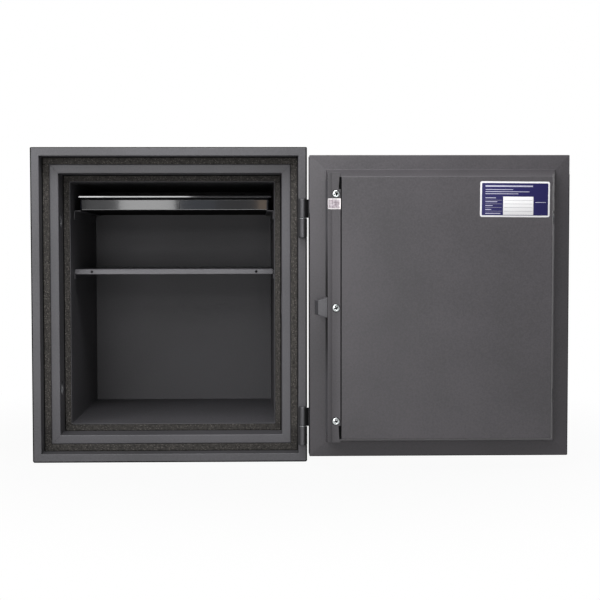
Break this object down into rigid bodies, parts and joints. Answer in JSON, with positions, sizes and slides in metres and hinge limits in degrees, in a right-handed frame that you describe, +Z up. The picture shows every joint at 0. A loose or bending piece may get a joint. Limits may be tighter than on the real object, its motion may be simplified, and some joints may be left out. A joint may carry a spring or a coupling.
{
  "type": "fireproof document box",
  "caption": "Fire-resistant document safe: insulated double-walled steel cabinet with stepped rebates, plug door, lever-worked round bolts, hinged dog, shelf and sliding tray.",
  "frame": {"origin": "centre of the cabinet's footprint, on the face that the safe stands on", "axes": "+X to the right as seen from the front, the side the door is hinged on and swung out to; +Y away from the person opening it; +Z up"},
  "size_m": [0.8455, 0.5504, 0.502],
  "materials": {
    "casing_paint": "satin textured powder coat, charcoal grey",
    "door_paint": "satin textured powder coat, charcoal grey",
    "liner_paint": "satin powder coat, dark grey",
    "thermal_break": "rough stippled fire-resistant compound, brown grey",
    "cast_fill": "matt cast mineral fill",
    "bare_steel": "zinc-plated steel",
    "bright_steel": "polished chrome plate",
    "screw_zinc": "bright zinc plate",
    "hinge_paint": "satin powder coat, charcoal grey",
    "brass_parts": "turned brass",
    "tray_shell": "glossy smoke grey moulded plastic",
    "fire_seal": "matt black intumescent strip",
    "foil_label": "embossed foil",
    "plate_print": "printed film label",
    "plug_plastic": "moulded black plastic"
  },
  "bodies": {
    "cabinet": {"outer_casing": "casing_paint", "back_panel": "casing_paint", "filler_plugs": "plug_plastic", "front_frame": "casing_paint", "outer_thermal_break": "thermal_break", "middle_frame": "casing_paint", "inner_thermal_break": "thermal_break", "body_insulation": "cast_fill", "inner_liner": "liner_paint", "upper_bolt_socket": "bare_steel", "lower_bolt_socket": "bare_steel", "dog_pocket": "bare_steel", "shelf_ledge_left": "liner_paint", "shelf_ledge_right": "liner_paint", "tray_runner_left": "liner_paint", "tray_runner_right": "liner_paint", "upper_body_knuckle": "hinge_paint", "lower_body_knuckle": "hinge_paint", "upper_hinge_pin": "bare_steel", "lower_hinge_pin": "bare_steel", "hinge_washers": "screw_zinc"},
    "shelf": {"shelf": "door_paint"},
    "tray": {"tray": "tray_shell"},
    "door": {"door_skin": "casing_paint", "door_inner_pan": "door_paint", "door_insulation": "cast_fill", "boltwork_case": "bare_steel", "hinge_side_strip": "door_paint", "strip_screws": "screw_zinc", "hinge_side_dog": "casing_paint", "hinge_side_seal": "fire_seal", "foil_seal": "foil_label", "rating_plate": "plate_print", "upper_door_knuckle": "hinge_paint", "lower_door_knuckle": "hinge_paint", "upper_bolt_guide": "brass_parts", "lower_bolt_guide": "brass_parts", "spindle_bush": "brass_parts", "handle_rose": "bright_steel", "lock_case": "bare_steel", "keyhole_escutcheon": "bright_steel", "cover_rivet": "bright_steel"},
    "boltwork": {"upper_bolt": "bright_steel", "lower_bolt": "bright_steel", "bolt_bar": "bare_steel", "drive_plate": "bare_steel", "drive_plate_screws": "screw_zinc"},
    "handle": {"handle_lever": "bright_steel", "handle_spindle": "bare_steel", "cam_arm": "bare_steel", "cam_pin": "bare_steel"},
    "lock": {"lock_core": "brass_parts", "core_tail": "bare_steel"},
    "cover": {"keyhole_cover": "bright_steel"}
  },
  "joints": [
    {"name": "door_swing", "type": "hinge", "parent": "cabinet", "child": "door", "pos_m": [0.21175, -0.234, 0.389], "axis": [0, 0, 1], "range_deg": [-180, 0]},
    {"name": "handle_turn", "type": "hinge", "parent": "door", "child": "handle", "pos_m": [0.5405, -0.241, 0.251], "axis": [0, -1, 0], "range_deg": [-90, 0]},
    {"name": "boltwork_slide", "type": "slide", "parent": "door", "child": "boltwork", "axis": [-1, 0, 0], "range_m": [-0.018, 0]},
    {"name": "lock_turn", "type": "hinge", "parent": "door", "child": "lock", "pos_m": [0.5405, -0.241, 0.313], "axis": [0, -1, 0], "range_deg": [-90, 0]},
    {"name": "cover_swing", "type": "hinge", "parent": "door", "child": "cover", "pos_m": [0.5405, -0.241, 0.327], "axis": [0, -1, 0], "range_deg": [-110, 110]},
    {"name": "shelf_slide", "type": "slide", "parent": "cabinet", "child": "shelf", "axis": [0, -1, 0], "range_m": [0, 0.16]},
    {"name": "tray_slide", "type": "slide", "parent": "cabinet", "child": "tray", "axis": [0, -1, 0], "range_m": [0, 0.2]}
  ],
  "couplings": [
    {"joint": "boltwork_slide", "follows": "handle_turn", "m_per_rad": 0.011459}
  ]
}
